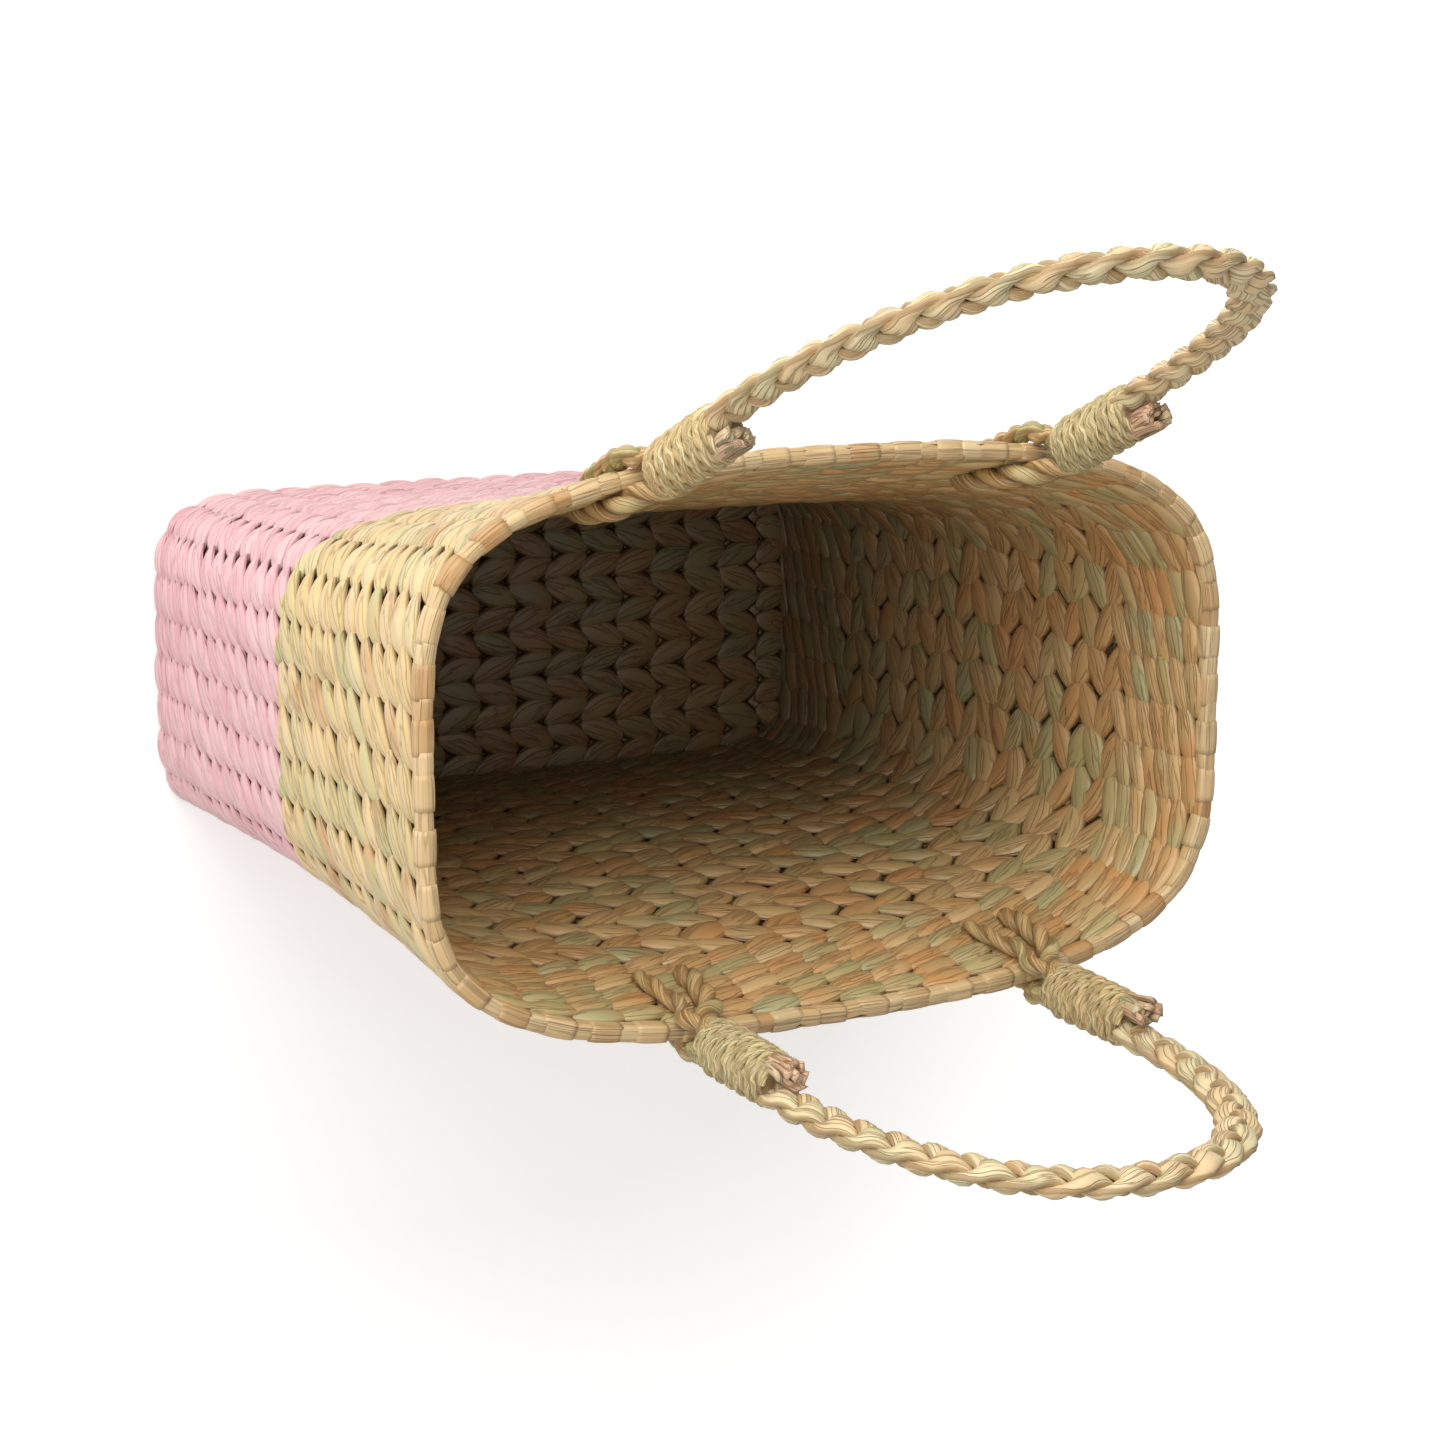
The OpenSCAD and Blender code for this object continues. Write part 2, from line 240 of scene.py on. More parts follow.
# materials
def ramp(tree, factor, stops):
    node = addNode(tree, "ShaderNodeValToRGB", {0: factor})
    bar = node.color_ramp
    while len(bar.elements) < len(stops):
        bar.elements.new(0.5)
    for element, (place, colour) in zip(bar.elements, stops):
        element.position = place
        element.color = (*colour, 1)
    return node.outputs[0]


def mixColour(tree, factor, first, second, blend="MIX"):
    node = addNode(tree, "ShaderNodeMix", data_type="RGBA", blend_type=blend)
    for index, value in ((0, factor), (6, first), (7, second)):
        if isinstance(value, bpy.types.NodeSocket):
            tree.links.new(value, node.inputs[index])
        else:
            node.inputs[index].default_value = value
    return node.outputs[2]


def noise(tree, vector, scale, detail=2.0, rough=0.5):
    inputs = {"Vector": vector, "Scale": scale, "Detail": detail, "Roughness": rough}
    return addNode(tree, "ShaderNodeTexNoise", inputs).outputs[0]


def attribute(tree, name):
    return addNode(tree, "ShaderNodeAttribute", attribute_name=name).outputs["Fac"]


def dimmed(tree, colour, amount):
    grey = addNode(tree, "ShaderNodeCombineColor", {0: amount, 1: amount, 2: amount}).outputs[0]
    return mixColour(tree, 1.0, colour, grey, "MULTIPLY")


def startMaterial(name):
    material = bpy.data.materials.new(name)
    material.use_nodes = True
    tree = material.node_tree
    tree.nodes.clear()
    shader = addNode(tree, "ShaderNodeBsdfPrincipled")
    addNode(tree, "ShaderNodeOutputMaterial", {0: shader.outputs[0]})
    return material, tree, shader


outsideReed = [(0.0, (0.74, 0.55, 0.27)), (0.3, (0.68, 0.49, 0.22)), (0.52, (0.58, 0.50, 0.24)),
               (0.72, (0.72, 0.55, 0.30)), (0.88, (0.60, 0.36, 0.15)), (1.0, (0.50, 0.47, 0.22))]
# the inside faces' colours: the reed's own brown-orange and olive, darker than the outside's in part as painted
# shade
insideReedAndShade = [(0.0, (0.58, 0.33, 0.13)), (0.3, (0.66, 0.44, 0.20)), (0.55, (0.47, 0.40, 0.18)),
              (0.75, (0.62, 0.32, 0.12)), (1.0, (0.45, 0.41, 0.20))]
# crease is the dye's colour in painted shade, for the creases and strip edges
dye = dict(first=(0.70, 0.388, 0.405, 1), second=(0.745, 0.482, 0.475, 1), crease=(0.66, 0.20, 0.29, 1),
           ragged=0.0012, edge=0.0003)


def reedMaterial(name, look):
    # fibres run lengthwise: "along" and "across" are the strip's own directions, "tone" is its own number
    material, tree, shader = startMaterial(name)
    place = addNode(tree, "ShaderNodeTexCoord").outputs["Object"]
    along = attribute(tree, "along")
    across = attribute(tree, "across")
    tone = attribute(tree, "tone")
    lengthwise = maths(tree, "MULTIPLY", along, look["stretch"])
    apart = maths(tree, "MULTIPLY", attribute(tree, look.get("lane", "tone")), 97.0)
    parts = addNode(tree, "ShaderNodeCombineXYZ", {0: lengthwise, 1: across, 2: apart}).outputs[0]
    fold = noise(tree, vectors(tree, "MULTIPLY", parts, (1.0, look["folds"], 1.0)), 1.0, 2.0, 0.55)
    fibre = noise(tree, vectors(tree, "MULTIPLY", parts, (1.5, look["folds"] * 6, 1.0)), 1.0, 3.0, 0.6)
    offFold = maths(tree, "ABSOLUTE", maths(tree, "SUBTRACT", fold, 0.5))
    crease = mapRange(tree, offFold, 0.0, look["creaseWidth"])
    patch = noise(tree, place, 45.0, 3.0)
    shade = maths(tree, "ADD", tone, maths(tree, "MULTIPLY", maths(tree, "SUBTRACT", patch, 0.5), 0.5))
    colour = ramp(tree, shade, look["stops"])
    if look.get("insideStopsAndShade"):
        height = addNode(tree, "ShaderNodeSeparateXYZ", {0: place}).outputs[2]
        outer = attribute(tree, "outer")
        inner = ramp(tree, shade, look["insideStopsAndShade"])
        # painted shade: the inside faces get darker towards the bottom of the basket
        depth = mapRange(tree, height, 0.03, 0.27, look["paintedShadeDeepest"], 1.0)
        colour = mixColour(tree, outer, dimmed(tree, inner, depth), colour)
    contrast = look.get("streak", 0.16)
    streak = mapRange(tree, fibre, 0.3, 0.7, 1.0 - contrast, 1.0 + contrast * 0.6)
    colour = dimmed(tree, colour, streak)
    # painted shade: the colour is darkened in the fold creases and towards each strip's edges, where shade falls
    paintedShadeReed = mixColour(tree, 1.0, colour, look["creaseShadeTint"], "MULTIPLY")
    edge = mapRange(tree, maths(tree, "ABSOLUTE", across), look["edge"], 1.0, 0.0, look["edgeShadeDepth"])
    paintedShadeShare = maths(tree, "MULTIPLY", maths(tree, "SUBTRACT", 1.0, crease), look["creaseShadeDepth"])
    paintedShadeShare = maths(tree, "MAXIMUM", paintedShadeShare, edge)
    colour = mixColour(tree, paintedShadeShare, colour, paintedShadeReed)
    roughness = mapRange(tree, fibre, 0.3, 0.7, look["rough"] - 0.08, look["rough"] + 0.12)
    if look.get("dyeLine"):
        uneven = maths(tree, "SUBTRACT", noise(tree, place, 260.0), 0.5)
        ragged = maths(tree, "MULTIPLY", uneven, dye["ragged"])
        line = look["dyeLine"]
        raised = maths(tree, "ADD", height, ragged)
        below = mapRange(tree, raised, line - dye["edge"], line + dye["edge"], 1.0, 0.0)
        worn = mapRange(tree, noise(tree, place, 120.0, 4.0), 0.70, 0.76, 1.0, 0.55)
        paintShare = maths(tree, "MULTIPLY", maths(tree, "MULTIPLY", below, outer), worn)
        paintTone = mapRange(tree, maths(tree, "ADD", patch, maths(tree, "MULTIPLY", tone, 0.4)), 0.4, 0.95)
        paint = mixColour(tree, paintTone, dye["first"], dye["second"])
        # painted shade on the dye: the paint turns darker in the creases and towards the strip edges
        paint = mixColour(tree, maths(tree, "MULTIPLY", paintedShadeShare, 0.55), paint, dye["crease"])
        colour = mixColour(tree, paintShare, colour, paint)
    tree.links.new(colour, shader.inputs["Base Color"])
    tree.links.new(roughness, shader.inputs["Roughness"])
    shader.inputs["Coat Weight"].default_value = look.get("coat", 0.12)
    shader.inputs["Coat Roughness"].default_value = 0.35
    relief = maths(tree, "ADD", crease, maths(tree, "MULTIPLY", fibre, 0.35))
    bump = addNode(tree, "ShaderNodeBump", {"Strength": 1.0, "Distance": look["relief"], "Height": relief})
    tree.links.new(bump.outputs[0], shader.inputs["Normal"])
    return material


# in each look, the crease and edge settings set the painted shade in creases and at strip edges
weaveLook = dict(stretch=0.45, streak=0.09, folds=1.5, creaseWidth=0.035, edge=0.72, edgeShadeDepth=0.75,
                 stops=outsideReed, insideStopsAndShade=insideReedAndShade, paintedShadeDeepest=0.36, creaseShadeTint=(0.42, 0.30, 0.18, 1),
                 creaseShadeDepth=0.55, rough=0.42, dyeLine=0.159, relief=0.0003, coat=0.28)
weaveMaterial = reedMaterial("wovenReed", weaveLook)
braidStops = [(0.0, (0.80, 0.62, 0.35)), (0.35, (0.76, 0.56, 0.31)), (0.6, (0.70, 0.62, 0.36)),
              (0.8, (0.82, 0.63, 0.38)), (1.0, (0.73, 0.51, 0.28))]
braidLook = dict(stretch=0.3, folds=2.0, creaseWidth=0.04, streak=0.10, edge=0.76, edgeShadeDepth=0.85,
                 lane="lane", stops=braidStops, creaseShadeTint=(0.36, 0.24, 0.13, 1), creaseShadeDepth=0.6,
                 rough=0.5, relief=0.0004, coat=0.08)
braidMaterial = reedMaterial("braidedReed", braidLook)
legStops = [(0.0, (0.56, 0.33, 0.13)), (0.4, (0.60, 0.40, 0.17)), (0.7, (0.44, 0.40, 0.17)),
            (1.0, (0.62, 0.40, 0.17))]
legMaterial = reedMaterial("legReed", dict(braidLook, stops=legStops, coat=0.3, rough=0.4))
borderStops = [(0.0, (0.72, 0.52, 0.27)), (0.4, (0.62, 0.42, 0.20)), (0.7, (0.70, 0.53, 0.29)),
               (1.0, (0.55, 0.31, 0.12))]
borderLook = dict(stretch=0.07, folds=2.4, edge=0.99, edgeShadeDepth=0.0, creaseWidth=0.03, stops=borderStops,
                  creaseShadeTint=(0.5, 0.36, 0.22, 1), creaseShadeDepth=0.4, rough=0.45, relief=0.0003, coat=0.15)
borderMaterial = reedMaterial("borderReed", borderLook)
cordStops = [(0.0, (0.80, 0.58, 0.28)), (0.5, (0.68, 0.58, 0.31)), (1.0, (0.84, 0.68, 0.40))]
cordLook = dict(stretch=0.6, folds=1.6, edge=0.8, edgeShadeDepth=0.6, lane="lane", creaseWidth=0.08,
                stops=cordStops, creaseShadeTint=(0.4, 0.33, 0.18, 1), creaseShadeDepth=0.7, rough=0.6, relief=0.0003,
                coat=0.0)
cordMaterial = reedMaterial("whippingCord", cordLook)
cutStops = [(0.0, (0.66, 0.40, 0.24)), (0.4, (0.74, 0.52, 0.33)), (0.7, (0.58, 0.53, 0.30)),
            (1.0, (0.68, 0.40, 0.26))]
cutLook = dict(braidLook, stops=cutStops, folds=3.0, relief=0.0005, lane="tone", edge=0.99, edgeShadeDepth=0.0)
cutMaterial = reedMaterial("cutReed", cutLook)


def coreMaterial(name, low, high):
    material, tree, shader = startMaterial(name)
    place = addNode(tree, "ShaderNodeTexCoord").outputs["Object"]
    grain = noise(tree, vectors(tree, "MULTIPLY", place, (1.0, 1.0, 4.0)), 320.0, 4.0)
    tree.links.new(ramp(tree, grain, [(0.3, low), (0.7, high)]), shader.inputs["Base Color"])
    shader.inputs["Roughness"].default_value = 0.7
    bump = addNode(tree, "ShaderNodeBump", {"Strength": 0.8, "Distance": 0.0004, "Height": grain})
    tree.links.new(bump.outputs[0], shader.inputs["Normal"])
    return material


# painted shade: a near black reed colour for the sheets inside the wall, base and rim that show between stitches
paintedShadeCore = coreMaterial("shadedReed", (0.05, 0.032, 0.016), (0.20, 0.13, 0.06))
stakeMaterial = coreMaterial("stakeReed", (0.16, 0.10, 0.05), (0.42, 0.29, 0.15))
for stakeNode in ("stakes", "base_stakes"):
    for slotItem in nodes[stakeNode].material_slots:
        slotItem.material = stakeMaterial
print("stage: materials")


# the wall's surface
wall = dict(base=(318, 141), rim=(352, 220), height=305, bow=2.4, thickness=6, stakes=50, samples=7200)
turnAngles = np.linspace(0, 2 * math.pi, wall["samples"], endpoint=False) + math.pi / wall["samples"]


def between(low, high, share):
    return low + (high - low) * share


def ringAt(z):
    # the wall's middle line at height z, in mm, as even steps by length from the +X end
    share = min(max(z / wall["height"], 0.0), 1.2)
    halfLength = between(wall["base"][0], wall["rim"][0], share) / 2 - wall["thickness"] / 2
    halfDepth = between(wall["base"][1], wall["rim"][1], share ** wall["bow"]) / 2 - wall["thickness"] / 2
    longPower = 1 / between(1 / 10, 1 / 2.6, share ** 1.5)
    shortPower = between(6, 4.5, share)
    cosine, sine = np.cos(turnAngles), np.sin(turnAngles)
    x = halfLength * np.sign(cosine) * np.abs(cosine) ** (2 / longPower)
    y = halfDepth * np.sign(sine) * np.abs(sine) ** (2 / shortPower)
    x = np.append(x, x[0])
    y = np.append(y, y[0])
    reach = np.concatenate([[0], np.cumsum(np.hypot(np.diff(x), np.diff(y)))])
    return x, y, reach


ringStore = {}


def wallPoint(z, share, out=0.0):
    # a point on the wall at height z and share of the way round, moved out along the flat normal; all in mm
    key = round(z, 2)
    if key not in ringStore:
        ringStore[key] = ringAt(key)
    x, y, reach = ringStore[key]
    step = 0.004

    def at(where):
        length = (where % 1.0) * reach[-1]
        return np.array([np.interp(length, reach, x), np.interp(length, reach, y), z])

    here = at(share)
    if not out:
        return here
    line = at(share + step) - at(share - step)
    facing = np.array([line[1], -line[0], 0]) / np.hypot(line[0], line[1])
    return here + facing * out


def unit(vector):
    return vector / np.linalg.norm(vector)


def wallFrame(z, share):
    # the point, the way round, the way up and the outward normal
    here = wallPoint(z, share)
    roundWay = unit(wallPoint(z, share + 0.006) - wallPoint(z, share - 0.006))
    upWay = wallPoint(z + 3, share) - wallPoint(z - 3, share)
    upWay = unit(upWay - roundWay * upWay.dot(roundWay))
    facing = np.cross(roundWay, upWay)
    near = wallPoint(z, share - 0.012)
    far = wallPoint(z, share + 0.012)
    chord = np.linalg.norm(far - near) / 2
    sag = (here - (near + far) / 2).dot(facing)
    return here, roundWay, upWay, facing, 2 * sag / chord ** 2


def fixNormals(mesh):
    work = bmesh.new()
    work.from_mesh(mesh)
    bmesh.ops.recalc_face_normals(work, faces=work.faces)
    work.to_mesh(mesh)
    work.free()


def shapeMesh(name, verts, faces):
    # each row of verts is x, y, z, then the places along and across the strip
    mesh = bpy.data.meshes.new(name)
    mesh.from_pydata([vert[:3] for vert in verts], [], faces)
    fixNormals(mesh)
    for label, index in (("along", 3), ("across", 4)):
        layer = mesh.attributes.new(label, "FLOAT", "POINT")
        layer.data.foreach_set("value", [vert[index] for vert in verts])
    return mesh


def closedMesh(name, verts, faces, material):
    mesh = bpy.data.meshes.new(name)
    mesh.from_pydata(verts, [], faces)
    fixNormals(mesh)
    mesh.materials.append(material)
    return mesh


def tubeFaces(lengths, sides):
    # the quads round a tube of rings that have the same number of points
    faces = []
    for i in range(lengths):
        for j in range(sides):
            k = (j + 1) % sides
            faces.append((i * sides + j, i * sides + k, (i + 1) * sides + k, (i + 1) * sides + j))
    return faces


# stitches
def lensMesh(name, longSteps=10, wideSteps=6):
    # a pointed lens that dives at both tips: length and width are 1, height is in units of the stitch's own
    rows = []
    verts = []
    for i in range(longSteps + 1):
        u = 2 * i / longSteps - 1
        wide = (1 - abs(u) ** 2.1) ** 0.8 if abs(u) < 1 else 0.0
        bow = -0.16 * (1 - u * u)
        level = 0.28 - 0.52 * abs(u) ** 3.0
        full = 0.80 * (1 - u ** 2) ** 0.5
        if i in (0, longSteps):
            verts.append((u, bow, level, u, 0.0))
            rows.append([len(verts) - 1])
            continue
        row = []
        for j in range(wideSteps + 1):
            v = 2 * j / wideSteps - 1
            ridge = (1 - v * v) ** 0.55
            verts.append((u, bow + v * wide, level + full * ridge, u, v))
            row.append(len(verts) - 1)
        verts.append((u, bow, level - 0.12, u, 0.0))
        row.append(len(verts) - 1)
        rows.append(row)
    faces = []
    for i in range(longSteps):
        low, high = rows[i], rows[i + 1]
        if len(low) == 1:
            loop = high
            faces += [(low[0], loop[j + 1], loop[j]) for j in range(wideSteps)]
            faces += [(low[0], loop[-1], loop[wideSteps]), (low[0], loop[0], loop[-1])]
        elif len(high) == 1:
            loop = low
            faces += [(high[0], loop[j], loop[j + 1]) for j in range(wideSteps)]
            faces += [(high[0], loop[wideSteps], loop[-1]), (high[0], loop[-1], loop[0])]
        else:
            faces += [(low[j], high[j], high[j + 1], low[j + 1]) for j in range(wideSteps)]
            faces.append((low[wideSteps], high[wideSteps], high[-1], low[-1]))
            faces.append((low[-1], high[-1], high[0], low[0]))
    return shapeMesh(name, verts, faces)


def pointMesh(name, rows, layers):
    mesh = bpy.data.meshes.new(name)
    mesh.from_pydata([row["place"] for row in rows], [], [])
    for label, kind in layers.items():
        layer = mesh.attributes.new(label, kind, "POINT")
        field = "vector" if kind == "FLOAT_VECTOR" else "value"
        layer.data.foreach_set(field, np.array([row[label] for row in rows], np.float32).ravel())
    return mesh


def aimedRotation(tree):
    # Z points along "facing" and X along "lie"
    inputs = {0: named(tree, "facing", "FLOAT_VECTOR"), 1: named(tree, "lie", "FLOAT_VECTOR")}
    settings = dict(primary_axis="Z", secondary_axis="X")
    return addNode(tree, "FunctionNodeAxesToRotation", inputs, **settings).outputs[0]


def randomTone(tree, geometry, seed):
    tone = addNode(tree, "FunctionNodeRandomValue", {"Seed": seed}, data_type="FLOAT")
    return stored(tree, geometry, "tone", tone.outputs[1], "INSTANCE")


def stitchTree():
    defaults = {"Stitch": "Object", "Material": "Material", "Tone seed": 1,
                "Width jitter": 0.1, "Lift jitter": 0.2}
    tree, given = newTree("stitches", defaults)
    facing = named(tree, "facing", "FLOAT_VECTOR")
    shape = addNode(tree, "GeometryNodeObjectInfo", {0: given["Stitch"]})

    def jitter(label, seed):
        chance = addNode(tree, "FunctionNodeRandomValue", {"Seed": seed}, data_type="FLOAT")
        chance.inputs[2].default_value = -1.0
        chance.inputs[3].default_value = 1.0
        return maths(tree, "MULTIPLY_ADD", chance.outputs[1], given[label], 1.0)

    jitters = {0: 1.0, 1: jitter("Width jitter", 11), 2: jitter("Lift jitter", 12)}
    grown = addNode(tree, "ShaderNodeCombineXYZ", jitters).outputs[0]
    size = vectors(tree, "MULTIPLY", named(tree, "size", "FLOAT_VECTOR"), grown)
    inputs = {"Points": given["Geometry"], "Instance": shape.outputs["Geometry"],
              "Rotation": aimedRotation(tree), "Scale": size}
    instances = addNode(tree, "GeometryNodeInstanceOnPoints", inputs).outputs[0]
    toned = randomTone(tree, instances, given["Tone seed"])
    real = addNode(tree, "GeometryNodeRealizeInstances", {0: toned}).outputs[0]
    # each stitch bends with the wall: it sinks by the square of the distance from its middle
    half = addNode(tree, "ShaderNodeSeparateXYZ", {0: named(tree, "size", "FLOAT_VECTOR")}).outputs[0]
    reach = maths(tree, "MULTIPLY", named(tree, "along"), half)
    halfBend = maths(tree, "MULTIPLY", named(tree, "bend"), -0.5)
    sink = maths(tree, "MULTIPLY", maths(tree, "MULTIPLY", reach, reach), halfBend)
    shift = scaled(tree, facing, sink)
    bent = addNode(tree, "GeometryNodeSetPosition", {"Geometry": real, "Offset": shift}).outputs[0]
    return closeTree(tree, bent, given["Material"])


stitchShape = linkObject("stitchShape", lensMesh("stitchShape"))
stitchShape.hide_render = True
stitches = stitchTree()
weave = dict(rise=(1.05, 0.8), length=(1.42, 1.54), width=(1.20, 1.56), out=1.35, depth=3.1,
             jitter=(0.10, 0.16))
stripLayers = {"facing": "FLOAT_VECTOR", "lie": "FLOAT_VECTOR", "size": "FLOAT_VECTOR", "outer": "FLOAT"}
stitchLayers = dict(stripLayers, bend="FLOAT")


def stitchRow(place, facing, lie, size, bend, outer):
    size = tuple(np.array(size) * mm)
    return dict(place=tuple(place * mm), facing=tuple(facing), lie=tuple(lie), size=size,
                bend=bend / mm, outer=outer)


def growStitches(sheet, rows, shape, material, jitter):
    values = {"Stitch": shape, "Material": material, "Tone seed": sheet["seed"],
              "Width jitter": jitter[0], "Lift jitter": jitter[1]}
    return runTree(sheet["name"], pointMesh("points", rows, stitchLayers), stitches, values)


def ringCore(name, levels, thin=0.5, steps=150):
    # the crossing wefts between the two faces, closed: a thin near black ring in the middle of the wall, painted
    # shade in the stitch gaps
    verts = []
    for z in levels:
        for side in (-thin, thin):
            verts += [tuple(wallPoint(z, i / steps, side) * mm) for i in range(steps)]
    faces = []

    def corner(level, side, i):
        return (level * 2 + side) * steps + i % steps

    last = len(levels) - 1
    for i in range(steps):
        for level in range(last):
            for side, here, ahead in ((1, i, i + 1), (0, i + 1, i)):
                low = (corner(level, side, here), corner(level, side, ahead))
                faces.append((*low, corner(level + 1, side, ahead), corner(level + 1, side, here)))
        faces.append((corner(0, 0, i), corner(0, 0, i + 1), corner(0, 1, i + 1), corner(0, 1, i)))
        faces.append((corner(last, 1, i), corner(last, 1, i + 1), corner(last, 0, i + 1), corner(last, 0, i)))
    return closedMesh(name, verts, faces, paintedShadeCore)


footCourses = dict(name="footCourseWeave", node="foot_courses", slot="dyed_reed", low=0.6, high=48,
                   rows=(6, 6), first=(0, 0), seed=3)
dyedCourses = dict(name="dyedCourseWeave", node="dyed_courses", slot="dyed_reed", low=48, high=159,
                   rows=(9, 11), first=(0, 0), seed=5)
naturalCourses = dict(name="naturalCourseWeave", node="natural_courses", slot="natural_reed", low=159,
                      high=249, rows=(7, 8), first=(9, 11), seed=7)
topCourses = dict(name="topCourseWeave", node="top_courses", slot="natural_reed", low=249, high=297.5,
                  rows=(4, 6), first=(0, 0), seed=9)
mainCourses = dict(low=48, high=249, rows=(16, 19))


def courseRows(sheet, face):
    # the main rows keep one pitch through the dye line; face 0 is the outside and 1 the inside
    span = mainCourses if sheet["low"] in (48, 159) else sheet
    pitch = (span["high"] - span["low"]) / span["rows"][face]
    first = sheet["first"][face]
    return pitch, [span["low"] + (first + row + 0.5) * pitch for row in range(sheet["rows"][face])]


def weaveCourses(sheet):
    draw = random.Random(sheet["seed"])
    chevron = sheet["low"] in (48, 159)
    rows = []
    for face in (0, 1):
        pitch, heights = courseRows(sheet, face)
        for index, z in enumerate(heights):
            calm = min(1.0, 0.25 + 0.75 * (z / 24)) if z < 24 else min(1.0, 0.45 + 0.55 * (297 - z) / 16)
            for stake in range(wall["stakes"]):
                share = stake / wall["stakes"]
                band = (ringStore.get(round(z, 2)) or ringAt(z))[2][-1] / wall["stakes"]
                level = z + draw.uniform(-0.06, 0.06) * pitch
                if face:
                    level += ((0.5 if stake % 2 else 0.0) - 0.25) * pitch * calm
                here, roundWay, upWay, facing, bend = wallFrame(round(level, 1), share)
                lean = 1.0 if not face or (chevron and index % 2) else -1.0
                rise = weave["rise"][face] * pitch * calm
                slope = math.atan(rise / band) * lean + draw.uniform(-0.06, 0.06)
                outFace = -facing if face else facing
                lie = unit(roundWay * math.cos(slope) + upWay * math.sin(slope))
                half = band / 2 / math.cos(slope) * weave["length"][face] * draw.uniform(0.96, 1.05)
                width = min(pitch / 2 * math.cos(slope) * weave["width"][face], level - 0.3)
                place = here + outFace * weave["out"]
                bend *= math.cos(slope) ** 2 * (-1 if face else 1)
                rows.append(stitchRow(place, outFace, lie, (half, width, weave["depth"]), bend, 1.0 - face))
    grown = growStitches(sheet, rows, stitchShape, weaveMaterial, weave["jitter"])
    levels = [max(sheet["low"], 3.0), (sheet["low"] + sheet["high"]) / 2, sheet["high"]]
    core = ringCore(sheet["name"] + "Core", levels)
    piece = joinMeshes(sheet["name"], [grown, core])
    finishPiece(piece, ["basket"], [sheet["node"]])


for sheetOfRows in (footCourses, dyedCourses, naturalCourses, topCourses):
    weaveCourses(sheetOfRows)
print("stage: wall weave")


# base
baseWeave = dict(name="baseWeave", node="base_weave", slot="dyed_reed", stakes=17, pitch=10.4, thickness=7,
                 slope=0.36, out=2.2, length=1.46, endLength=1.05, width=1.34, depth=1.25, jitter=(0.08, 0.1),
                 core=(2.6, 4.4), steps=120, seed=21)


def weaveBase(sheet):
    draw = random.Random(sheet["seed"])
    x, y = ringAt(0)[:2]
    halfLength, halfDepth = x.max(), y.max()
    step = 2 * halfLength / sheet["stakes"]
    count = int(2 * halfDepth / sheet["pitch"])
    rows = []
    for across in range(count):
        line = (across + 0.5 - count / 2) * sheet["pitch"] * (2 * halfDepth / (count * sheet["pitch"]))
        for stake in range(sheet["stakes"]):
            middle = (stake + 0.5 - sheet["stakes"] / 2) * step
            power = abs(middle / halfLength) ** 10 + abs(line / halfDepth) ** 6
            if power > 1.02:
                continue
            for outer in (1.0, 0.0):
                facing = np.array([0, 0, -1.0 if outer else 1.0])
                slope = sheet["slope"] * (1 if across % 2 or outer else -1) + draw.uniform(-0.05, 0.05)
                sideways = 0.12 if abs(line) < halfDepth * 0.8 else 0.1
                shift = (0.5 if stake % 2 else 0.0) * sheet["pitch"] * sideways
                lie = np.array([math.cos(slope), math.sin(slope), 0])
                rise = sheet["thickness"] / 2 + (-sheet["out"] if outer else sheet["out"])
                place = np.array([middle, line + shift * (1 if line < 0 else -1), rise])
                half = step / 2 * sheet["length" if abs(middle) < halfLength - step else "endLength"]
                size = (half, sheet["pitch"] / 2 * sheet["width"], sheet["depth"])
                rows.append(stitchRow(place, facing, lie, size, 0.0, outer))
    grown = growStitches(sheet, rows, stitchShape, weaveMaterial, sheet["jitter"])
    # a dark sheet between the base's two faces: painted shade in the gaps between stitches
    verts = []
    steps = sheet["steps"]
    for z in sheet["core"]:
        verts += [tuple(wallPoint(z, i / steps) * mm) for i in range(steps)]
    faces = [tuple(reversed(range(steps))), tuple(range(steps, 2 * steps))]
    core = closedMesh("baseCore", verts, faces + tubeFaces(1, steps), paintedShadeCore)
    finishPiece(joinMeshes(sheet["name"], [grown, core]), ["basket"], [sheet["node"]])


weaveBase(baseWeave)
print("stage: base")


# rim border
def barrelMesh(name, longSteps=6, sides=10):
    verts = []
    for i in range(longSteps + 1):
        u = 2 * i / longSteps - 1
        girth = 0.93 + 0.07 * (1 - abs(u) ** 3.0)
        for j in range(sides):
            turn = 2 * math.pi * j / sides
            y = math.copysign(abs(math.cos(turn)) ** 0.5, math.cos(turn))
            z = math.copysign(abs(math.sin(turn)) ** 0.5, math.sin(turn))
            verts.append((u, y * girth, z * girth, u, 2 * j / sides - 1))
    ends = []
    for side in (-1, 1):
        verts.append((side * 0.97, 0, 0, side, 0))
        ends.append(len(verts) - 1)
    faces = tubeFaces(longSteps, sides)
    top = longSteps * sides
    for j in range(sides):
        k = (j + 1) % sides
        faces.append((ends[0], k, j))
        faces.append((ends[1], top + j, top + k))
    return shapeMesh(name, verts, faces)


barrelShape = linkObject("barrelShape", barrelMesh("barrelShape"))
barrelShape.hide_render = True
border = dict(name="rimBorder", node="rim_border", slot="border_reed", seed=31, level=301.2,
              wide=(6.6, 3.7, 3.75), narrow=(5.0, 3.3, 3.45), jitter=(0.03, 0.04),
              core=(298.5, 303.6), coreHalf=2.2)


